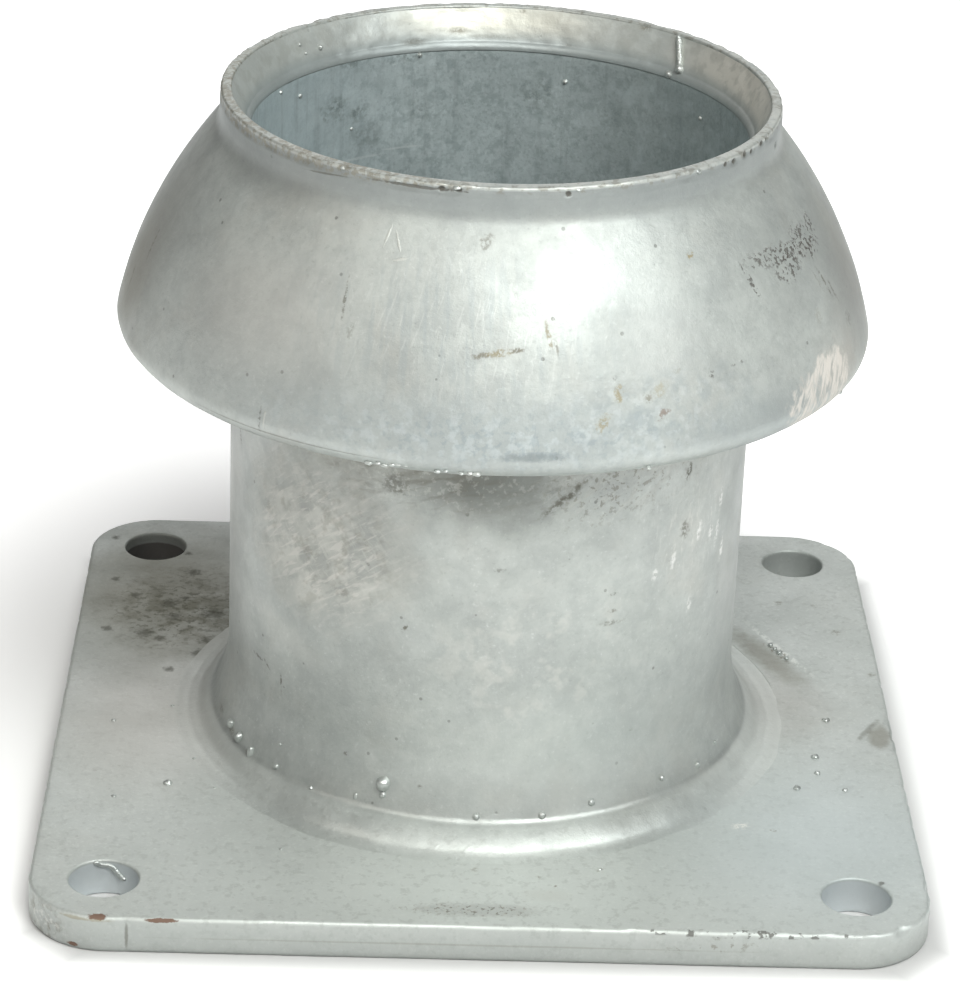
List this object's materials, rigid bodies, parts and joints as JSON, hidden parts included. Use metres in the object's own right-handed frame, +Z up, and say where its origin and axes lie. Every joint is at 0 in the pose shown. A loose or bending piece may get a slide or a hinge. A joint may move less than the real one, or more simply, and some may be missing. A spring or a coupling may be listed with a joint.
{
  "type": "flanged pipe coupling end",
  "caption": "Flanged ball end of a quick pipe coupling: a tube stub on a square bolted flange, with a pressed ball shell hanging round its mouth as the gripping edge.",
  "frame": {"origin": "centre of the flange's underside, on the tube's axis", "axes": "+Z up the tube towards the ball end; +X and +Y square to the flange's sides"},
  "size_m": [0.18, 0.18, 0.1495],
  "materials": {
    "galvanised_plate": "hot-dip galvanised, dull grey, with zinc nibs and a few rust chips",
    "galvanised_tube": "hot-dip galvanised, dull grey, with faint vertical streaks",
    "galvanised_shell": "hot-dip galvanised, dull grey with a soft sheen",
    "galvanised_weld": "weld bead under hot-dip zinc"
  },
  "bodies": {
    "root": {"base_flange": "galvanised_plate", "pipe_stub": "galvanised_tube", "ball_shell": "galvanised_shell", "rim_weld": "galvanised_weld", "foot_weld": "galvanised_weld", "root_weld": "galvanised_weld"}
  },
  "joints": []
}
